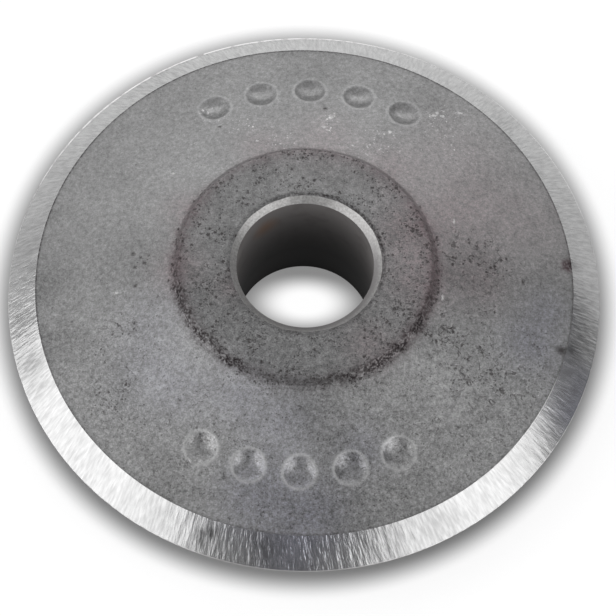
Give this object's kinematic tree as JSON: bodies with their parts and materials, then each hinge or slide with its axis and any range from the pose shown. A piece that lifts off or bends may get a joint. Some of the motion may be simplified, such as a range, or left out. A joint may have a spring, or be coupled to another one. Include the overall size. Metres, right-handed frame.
{
  "type": "tile cutter wheel",
  "caption": "Double-bevelled scoring wheel for a hand tile cutter: a bored hub, sloping faces and a ground cutting edge, sintered in one piece.",
  "frame": {"origin": "centre of the bore, halfway through the wheel's thickness, in the plane of the cutting edge", "axes": "+Z along the bore, up from the face with the pips as the wheel lies flat; +X and +Y in the plane of the cutting edge, with the rows of pips at +Y and -Y"},
  "size_m": [0.022, 0.022, 0.0058],
  "materials": {
    "sintered_carbide": "dull grey as-sintered skin with dark pits and faint brown stains, and a bright ground bevel"
  },
  "bodies": {
    "root": {"scoring_wheel": "sintered_carbide"}
  },
  "joints": []
}
